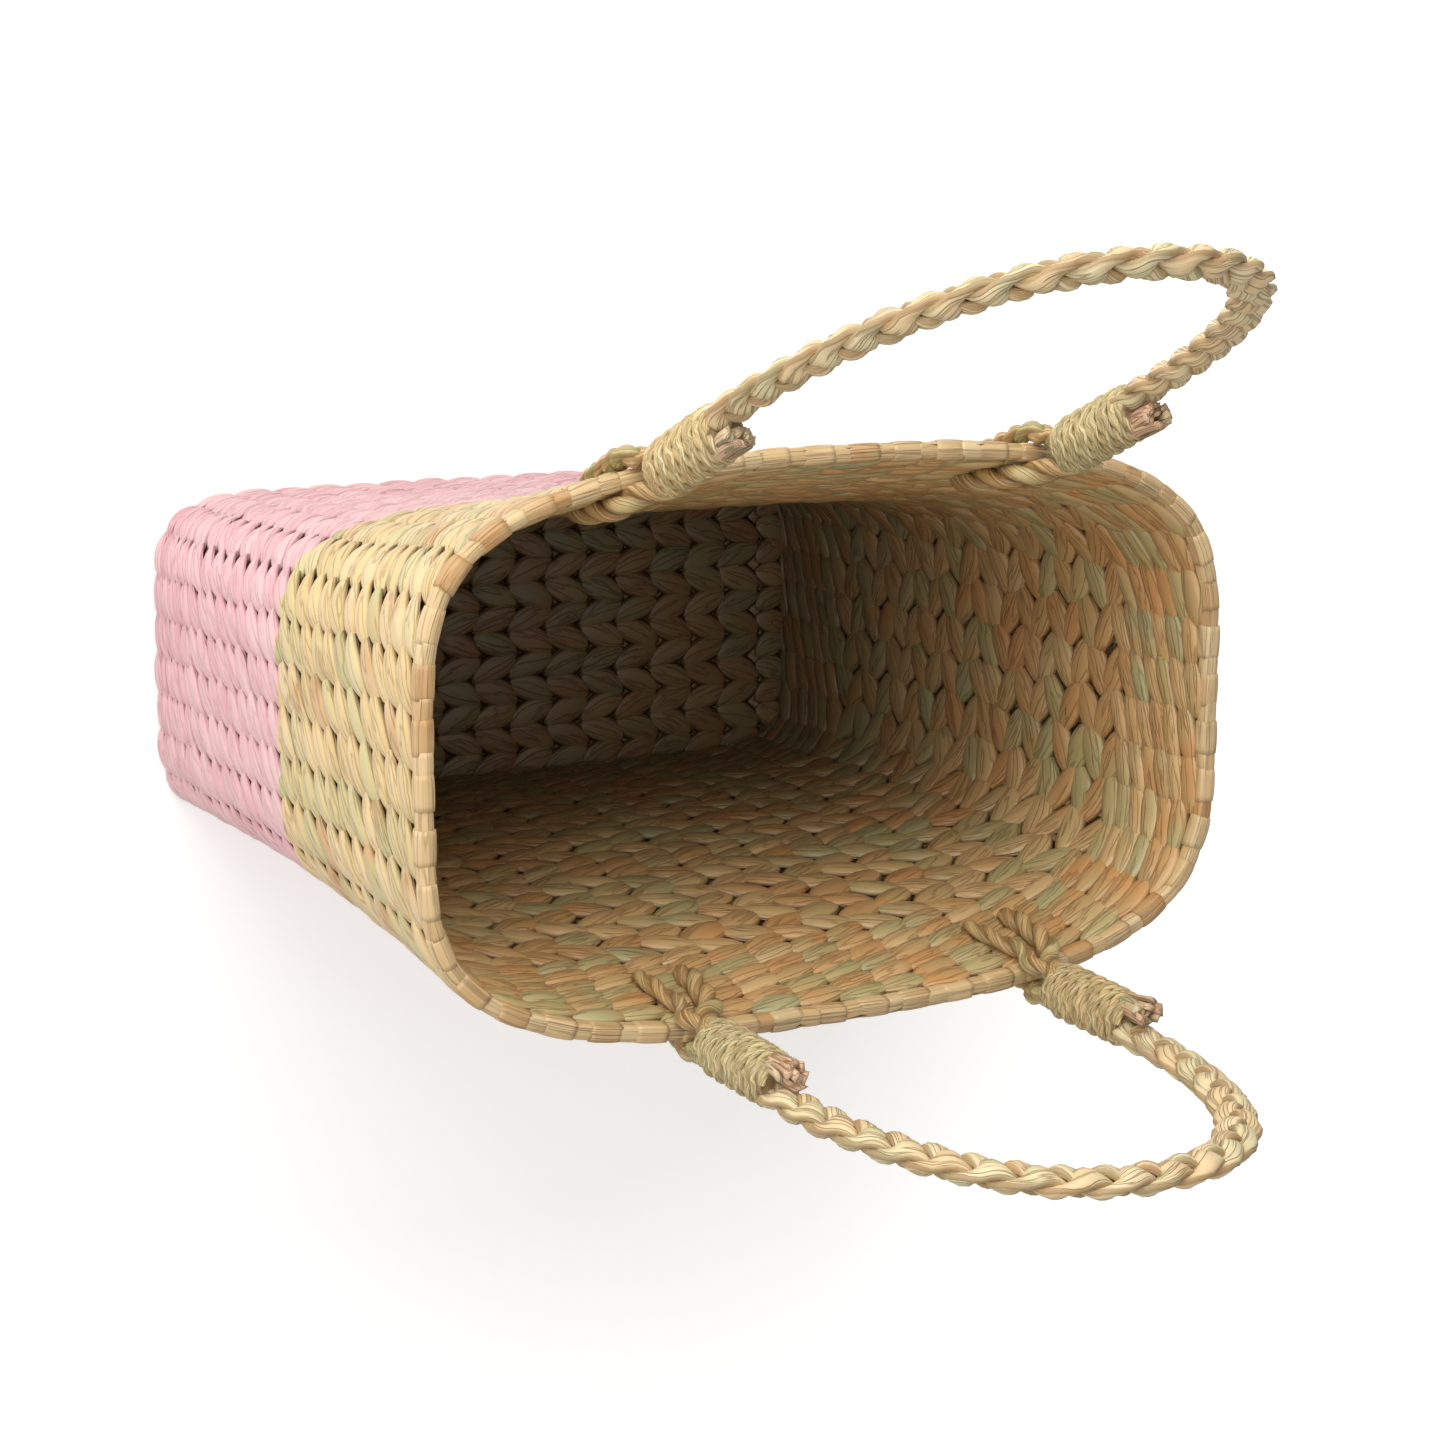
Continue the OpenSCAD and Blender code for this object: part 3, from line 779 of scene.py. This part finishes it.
def weaveBorder(sheet):
    draw = random.Random(sheet["seed"])
    rows = []
    for stake in range(wall["stakes"]):
        for kind, middle in (("wide", stake), ("narrow", stake + 0.5)):
            share = middle / wall["stakes"]
            here, roundWay, upWay, facing, bend = wallFrame(sheet["level"], share)
            uneven = [draw.uniform(0.98, 1.02), draw.uniform(0.94, 1.04), draw.uniform(0.95, 1.03)]
            size = np.array(sheet[kind]) * np.array(uneven)
            tilt = draw.uniform(-0.09, 0.09)
            lie = unit(roundWay * math.cos(tilt) + upWay * math.sin(tilt))
            place = here + facing * 0.3
            rows.append(stitchRow(place, facing, lie, (size[0], size[2], size[1]), bend, 1.0))
    grown = growStitches(sheet, rows, barrelShape, borderMaterial, sheet["jitter"])
    core = ringCore(sheet["name"] + "Core", sheet["core"], sheet["coreHalf"])
    finishPiece(joinMeshes(sheet["name"], [grown, core]), ["basket"], [sheet["node"]])


weaveBorder(border)
print("stage: rim border")


# braids, twists and windings along a path
def pathCurve(name, points):
    curve = bpy.data.curves.new(name, "CURVE")
    curve.dimensions = "3D"
    line = curve.splines.new("POLY")
    line.points.add(len(points) - 1)
    rows = np.column_stack([np.array(points) * mm, np.ones(len(points))])
    line.points.foreach_set("co", rows.ravel().astype(np.float32))
    return curve


braidSnap = 0.93  # how sharply a braided strand turns at each side, up to 1


def strandTree(strands, lay):
    # strands along a path: "braid" swings them to the sides and over each other, "twist" turns them about it
    defaults = {"Face": (0.0, 1.0, 0.0), "Pitch": 0.045, "Swing": 0.005, "Lift": 0.002, "Strand width": 0.004,
                "Strand thickness": 0.002, "Thin start": 1.0, "Thin end": 1.0, "Thin reach": 0.01,
                "Samples": 0.0015, "Wobble": 0.1, "Phase": 0.0, "Tone shift": 0.0, "Material": "Material"}
    tree, given = newTree(lay + str(strands), defaults)

    def times(*factors):
        value = factors[0]
        for factor in factors[1:]:
            value = maths(tree, "MULTIPLY", value, factor)
        return value

    def thinned(distance, share):
        return mapRange(tree, distance, 0.0, given["Thin reach"], share, 1.0, interpolation_type="SMOOTHSTEP")

    inputs = {0: given["Geometry"], "Length": given["Samples"]}
    base = addNode(tree, "GeometryNodeResampleCurve", inputs, mode="LENGTH")
    made = []
    for index in range(strands):
        place = addNode(tree, "GeometryNodeSplineParameter")
        length = place.outputs["Length"]
        total = addNode(tree, "GeometryNodeSplineLength").outputs[0]
        phase = maths(tree, "ADD", given["Phase"], 2 * math.pi * index / strands)
        angle = times(maths(tree, "DIVIDE", length, given["Pitch"]), 2 * math.pi)
        theta = maths(tree, "ADD", angle, phase)
        tangent = addNode(tree, "GeometryNodeInputTangent").outputs[0]
        side = vectors(tree, "NORMALIZE", vectors(tree, "CROSS_PRODUCT", tangent, given["Face"]))
        face = vectors(tree, "NORMALIZE", vectors(tree, "CROSS_PRODUCT", side, tangent))
        left = maths(tree, "SUBTRACT", total, length)
        thin = times(thinned(length, given["Thin start"]), thinned(left, given["Thin end"]))
        if lay == "braid":
            # straight through the middle, with a quick turn at each side
            swing = maths(tree, "ARCSINE", times(maths(tree, "SINE", theta), braidSnap))
            swing = maths(tree, "DIVIDE", swing, math.asin(braidSnap))
            lift = maths(tree, "SINE", times(theta, 2.0))
            up = vectors(tree, "ADD", face, scaled(tree, side, times(swing, lift, 0.75)))
        else:
            swing = maths(tree, "SINE", theta)
            lift = maths(tree, "COSINE", theta)
            up = vectors(tree, "ADD", scaled(tree, side, swing), scaled(tree, face, lift))
        inputs = {"W": times(length, 60.0), "Scale": 1.0}
        wobble = addNode(tree, "ShaderNodeTexNoise", inputs, noise_dimensions="1D").outputs[0]
        wobbled = maths(tree, "MULTIPLY_ADD", maths(tree, "SUBTRACT", wobble, 0.5), given["Wobble"], 1.0)
        push = vectors(tree, "ADD", scaled(tree, side, times(swing, given["Swing"], thin)),
                       scaled(tree, face, times(lift, given["Lift"], thin)))
        marked = stored(tree, base.outputs[0], "upWay", up, kind="FLOAT_VECTOR")
        marked = stored(tree, marked, "along", times(length, 100.0))
        marked = stored(tree, marked, "swell", times(thin, wobbled))
        tone = maths(tree, "MULTIPLY_ADD", wobble, 0.6, given["Tone shift"])
        marked = stored(tree, marked, "tone", maths(tree, "FRACT", maths(tree, "ADD", tone, 0.19 * index)))
        lane = maths(tree, "ADD", 0.31 * index + 0.1, times(given["Phase"], 0.1))
        marked = stored(tree, marked, "lane", lane)
        moved = addNode(tree, "GeometryNodeSetPosition", {"Geometry": marked, "Offset": push}).outputs[0]
        inputs = {"Curve": moved, "Normal": named(tree, "upWay", "FLOAT_VECTOR")}
        aimed = addNode(tree, "GeometryNodeSetCurveNormal", inputs, mode="FREE")
        ring = addNode(tree, "GeometryNodeCurvePrimitiveCircle", {"Resolution": 10, "Radius": 1.0})
        spin = addNode(tree, "GeometryNodeSplineParameter").outputs["Factor"]
        ringMarked = stored(tree, ring.outputs[0], "across", maths(tree, "SINE", times(spin, 2 * math.pi)))
        inputs = {0: given["Strand thickness"], 1: given["Strand width"], 2: 1.0}
        sizes = addNode(tree, "ShaderNodeCombineXYZ", inputs).outputs[0]
        oval = addNode(tree, "GeometryNodeTransform", {"Geometry": ringMarked, "Scale": sizes}).outputs[0]
        inputs = {"Curve": aimed.outputs[0], "Profile Curve": oval, "Fill Caps": True}
        swept = addNode(tree, "GeometryNodeCurveToMesh", inputs)
        if "Scale" in swept.inputs:
            tree.links.new(named(tree, "swell"), swept.inputs["Scale"])
        made.append(swept.outputs[0])
    joined = addNode(tree, "GeometryNodeJoinGeometry")
    for mesh in made:
        tree.links.new(mesh, joined.inputs[0])
    return closeTree(tree, joined.outputs[0], given["Material"])


braidTree = strandTree(3, "braid")
twistTree = strandTree(2, "twist")

handles = dict(
    front=dict(turn=math.pi, middle=0.0, hinge=102.507, half=87.523, rise=199, lean=23,
               feet={"left": (-1, 17), "right": (1, 8)}),
    back=dict(turn=0.0, middle=-9.680, hinge=103.605, half=77.843, rise=183, lean=3.5,
              feet={"left": (-1, 17), "right": (1, 9)}),
)
hingeHeight = 312
footOrder = [(side, hand, index + (10 if side == "back" else 0))
             for side in handles for index, hand in enumerate(("left", "right"))]


def handlePlace(side):
    spec = handles[side]
    turn = Matrix.Rotation(spec["turn"], 4, "Z")
    lean = Matrix.Rotation(math.radians(-spec["lean"]), 4, "X")
    return turn @ Matrix.Translation((spec["middle"], spec["hinge"], hingeHeight)) @ lean


def placed(side, points):
    matrix = handlePlace(side)
    return [tuple(matrix @ Vector(point)) for point in points]


def faceWay(side):
    return tuple(handlePlace(side).to_3x3() @ Vector((0, 1, 0)))


def archPoints(side):
    spec = handles[side]
    rise = spec["rise"]
    points = [(spec["half"], 4.6, z) for z in np.arange(8, 59, 3)]
    points += [(spec["half"], 4.8, 59)]
    for angle in np.arange(4, 90, 3):
        turn = math.radians(angle)
        points.append((spec["half"] * math.cos(turn), 5.0, 59 + (rise - 59) * math.sin(turn)))
    mirrored = [(-x, y, z) for x, y, z in reversed(points)]
    return [(x, y, z - 7.5 * (z / rise) ** 8) for x, y, z in points + [(0, 5.0, rise)] + mirrored]


handleBraid = dict(slot="braid_reed", pitch=46, swing=4.2, lift=2.75, width=4.6, thickness=2.5)


def strandValues(look, face, material, grow=1.0, **others):
    values = {"Face": face, "Pitch": look["pitch"] * mm, "Swing": look["swing"] * mm * grow,
              "Lift": look["lift"] * mm * grow, "Strand width": look["width"] * mm * grow,
              "Strand thickness": look["thickness"] * mm * grow, "Material": material}
    return dict(values, **others)


def makeBraid(side):
    others = {"Thin start": 0.6, "Thin end": 0.6, "Thin reach": 0.05, "Samples": 0.0018, "Wobble": 0.25}
    values = strandValues(handleBraid, faceWay(side), braidMaterial, **others)
    path = pathCurve("path", placed(side, archPoints(side)))
    piece = joinMeshes(side + "HandleBraid", [runTree(side + "HandleBraid", path, braidTree, values)])
    finishPiece(piece, [side + "_handle"], [side + "_handle_braid"])


for handleSide in handles:
    makeBraid(handleSide)
print("stage: handle braids")

# whippings
whipping = dict(slot="whipping_cord", low=7.2, high=54.5, turns=13, perTurn=28, cord=1.75, halfWidth=9.96,
                inner=-11.55, outer=11.35)
cord = dict(pitch=15, swing=0.8, lift=0.8, width=1.2, thickness=1.1)
sleeveLook = dict(steps=28, halfDeep=11.4, taper=3, end=0.70, full=0.82)


def whippingPath(side, sign, seed):
    draw = random.Random(seed)
    spec = handles[side]
    middle = (whipping["inner"] + whipping["outer"]) / 2
    halfDeep = (whipping["outer"] - whipping["inner"]) / 2 - whipping["cord"]
    halfWide = whipping["halfWidth"] - whipping["cord"]
    points = []
    perTurn = whipping["perTurn"]
    slack = [draw.uniform(-0.35, 0.35) for _ in range(whipping["turns"] + 2)]
    for i in range(whipping["turns"] * perTurn + 1):
        turn = i / perTurn
        angle = 2 * math.pi * turn
        extra = slack[int(turn)] * (0.5 - 0.5 * math.cos(2 * math.pi * (turn % 1)))
        z = between(whipping["low"], whipping["high"], turn / whipping["turns"]) + extra
        end = min(1.0, 0.80 + 0.12 * min(turn, whipping["turns"] - turn))
        x = sign * spec["half"] + halfWide * end * math.cos(angle)
        points.append((x, middle + halfDeep * end * math.sin(angle), z))
    return placed(side, points)


def sleeve(side, sign):
    # what the cord is wound on, closed at both ends
    middle = (whipping["inner"] + whipping["outer"]) / 2
    low, high = whipping["low"], whipping["high"]
    steps, taper, end, full = (sleeveLook[key] for key in ("steps", "taper", "end", "full"))
    angles = [2 * math.pi * i / steps for i in range(steps)]
    verts = []
    for z, share in ((low, end), (low + taper, full), (high - taper, full), (high, end)):
        ring = [(sign * handles[side]["half"] + whipping["halfWidth"] * share * math.cos(angle),
                 middle + sleeveLook["halfDeep"] * share * math.sin(angle), z) for angle in angles]
        verts += [tuple(Vector(point) * mm) for point in placed(side, ring)]
    faces = [tuple(reversed(range(steps))), tuple(range(3 * steps, 4 * steps))]
    return closedMesh("sleeve", verts, faces + tubeFaces(3, steps), stakeMaterial)


def makeWhipping(side, hand, seed):
    sign = handles[side]["feet"][hand][0]
    others = {"Samples": 0.0015, "Wobble": 0.5, "Tone shift": 0.31 * seed}
    values = strandValues(cord, faceWay(side), cordMaterial, **others)
    mesh = runTree("cord", pathCurve("path", whippingPath(side, sign, seed)), twistTree, values)
    piece = joinMeshes(f"{side}{hand.capitalize()}Whipping", [mesh, sleeve(side, sign)])
    finishPiece(piece, [side + "_handle"], [f"{side}_{hand}_whipping"])


for handleSide, handName, number in footOrder:
    makeWhipping(handleSide, handName, 41 + number)
print("stage: whippings")

# tails
tail = dict(slot="cut_reed", strips=10, low=46, offset=-5.8, radius=4.8, length=(17.0, 21.5),
            width=(2.5, 3.2), fold=(1.7, 2.2), spiral=0.381966)


def stripTree():
    defaults = {"Strip": "Object", "Material": "Material", "Tone seed": 1}
    tree, given = newTree("strips", defaults)
    shape = addNode(tree, "GeometryNodeObjectInfo", {0: given["Strip"]})
    inputs = {"Points": given["Geometry"], "Instance": shape.outputs["Geometry"],
              "Rotation": aimedRotation(tree), "Scale": named(tree, "size", "FLOAT_VECTOR")}
    instances = addNode(tree, "GeometryNodeInstanceOnPoints", inputs).outputs[0]
    return closeTree(tree, randomTone(tree, instances, given["Tone seed"]), given["Material"])


def stripMesh(name, longSteps=7, sides=6):
    # a folded strip, curled along its length and cut ragged at the top; x is the length, 0 to 1
    verts = []
    for i in range(longSteps + 1):
        u = i / longSteps
        for j in range(sides):
            turn = 2 * math.pi * j / sides
            ragged = 0.05 * math.sin(5.1 * j) * (u > 0.9)
            y = math.cos(turn) + 0.35 * math.sin(3 * u)
            verts.append((u + ragged, y, 0.6 * math.sin(turn) + 0.5 * u * u, u * 2, 2 * j / sides - 1))
    top = longSteps * sides
    faces = [tuple(range(sides)), tuple(reversed(range(top, top + sides)))]
    faces += tubeFaces(longSteps, sides)
    return shapeMesh(name, verts, faces)


stripShape = linkObject("stripShape", stripMesh("stripShape"))
stripShape.hide_render = True
strips = stripTree()


def makeTail(side, hand, seed):
    draw = random.Random(seed)
    spec = handles[side]
    sign = spec["feet"][hand][0]
    matrix = handlePlace(side)
    turn = matrix.to_3x3()
    rows = []
    for index in range(tail["strips"]):
        angle = 2 * math.pi * index * tail["spiral"]
        far = tail["radius"] * 0.82 * math.sqrt((index + 0.5) / tail["strips"])
        x, y = sign * spec["half"] + far * math.cos(angle), tail["offset"] + far * math.sin(angle)
        start = Vector((x, y, tail["low"]))
        lean = Vector((draw.uniform(-0.08, 0.08), draw.uniform(-0.1, 0.04), 1)).normalized()
        facing = Vector((math.cos(angle), math.sin(angle), 0))
        facing = (facing - lean * facing.dot(lean)).normalized()
        size = tuple(draw.uniform(*tail[key]) * mm for key in ("length", "width", "fold"))
        place = tuple((matrix @ start) * mm)
        rows.append(dict(place=place, facing=tuple(turn @ facing), lie=tuple(turn @ lean), size=size, outer=1.0))
    values = {"Strip": stripShape, "Material": cutMaterial, "Tone seed": seed}
    name = f"{side}{hand.capitalize()}Tail"
    mesh = runTree(name, pointMesh("points", rows, stripLayers), strips, values)
    finishPiece(joinMeshes(name, [mesh]), [side + "_handle"], [f"{side}_{hand}_tail"])


for handleSide, handName, number in footOrder:
    makeTail(handleSide, handName, 61 + number)
print("stage: tails")


# legs
def smoothPath(points, each=6):
    points = np.array(points, float)
    padded = np.vstack([2 * points[0] - points[1], points, 2 * points[-1] - points[-2]])
    made = []
    for i in range(1, len(padded) - 2):
        for step in range(each):
            t = step / each
            a, b, c, d = padded[i - 1:i + 3]
            square, cube = 2 * a - 5 * b + 4 * c - d, 3 * b - a - 3 * c + d
            made.append(0.5 * (2 * b + (c - a) * t + square * t * t + cube * t ** 3))
    made.append(points[-1])
    return np.array(made)


def turned(side, point):
    return np.array([-point[0], -point[1], point[2]]) if side == "front" else np.array(point)


def hingePoint(side, sign):
    spec = handles[side]
    return np.array([spec["middle"] + sign * spec["half"], spec["hinge"], hingeHeight])


def hangPoint(stake, z, out):
    return wallPoint(z, stake / wall["stakes"], out)


legBraid = dict(slot="braid_reed", pitch=26, swing=2.5, lift=1.8, width=2.9, thickness=2.3)
innerTwist = dict(slot="braid_reed", pitch=27, swing=1.9, lift=1.9, width=3.2, thickness=2.6)
# height above the base and distance out from the wall's middle line, from the rim down
outerDrop = ((302, 8.6), (294, 8.9), (281, 6.8), (267, 4.6), (261, 1.0))
# height, share of the way to the gap beside the stake, and distance out
innerDrop = ((302, 0.6, -8.6), (289, 0.85, -7.6), (274, 1.0, -6.2), (268, 1.0, -1.0))
leg = dict(gap=8.4, blend=(305, 320), grow={-1: 0.80, 1: 1.06}, outerTurn=(0, 0.785, -0.62))


def makeLegs(side, hand):
    sign, stake = handles[side]["feet"][hand]
    hinge = hingePoint(side, sign)
    local = Matrix.Rotation(-handles[side]["turn"], 4, "Z") @ handlePlace(side)

    def inHandle(x, y, z):
        return np.array(local @ Vector((sign * handles[side]["half"] + x, y, z)))

    def grown(name, points, tree, values):
        path = [turned(side, point) for point in smoothPath(points)]
        return runTree(name, pathCurve("path", path), tree, values)

    bodies = ["basket", side + "_handle"]
    face = tuple(turned(side, np.array([0, 1.0, 0])))
    name = f"{side}{hand.capitalize()}"
    outer = [inHandle(0, 3.6, 16), inHandle(0, 4.4, 8), hinge + leg["gap"] * np.array(leg["outerTurn"])]
    outer += [hangPoint(stake, z, out) for z, out in outerDrop]
    others = {"Thin start": 0.7, "Thin end": 0.45, "Thin reach": 0.014, "Samples": 0.0012, "Wobble": 0.2}
    mesh = grown(name + "OuterLeg", outer, braidTree, strandValues(legBraid, face, legMaterial, **others))
    piece = joinMeshes(name + "OuterLeg", [mesh])
    finishPiece(piece, bodies, [f"{side}_{hand}_outer_leg"])
    meshes = []
    for way in (-1, 1):
        gap = stake + 0.5 * way
        inner = [inHandle(0.8 * way, -5.0, 15), inHandle(1.4 * way, -5.6, 8),
                 hinge + leg["gap"] * np.array([0.5 * way * -1, -0.75, -0.43])]
        for z, share, out in innerDrop:
            inner.append(between(hangPoint(stake, z, out), hangPoint(gap, z, out), share))
        others = {"Thin start": 0.8, "Thin end": 0.8, "Thin reach": 0.008, "Samples": 0.0012, "Wobble": 0.2,
                  "Phase": 1.2 * way}
        values = strandValues(innerTwist, face, legMaterial, leg["grow"][way], **others)
        meshes.append(grown("twist", inner, twistTree, values))
    piece = joinMeshes(name + "InnerLegs", meshes)
    finishPiece(piece, bodies, [f"{side}_{hand}_inner_legs"])


for handleSide, handName, number in footOrder:
    makeLegs(handleSide, handName)
print("stage: legs")

for helper in (stitchShape, barrelShape, stripShape):
    bpy.data.objects.remove(helper)
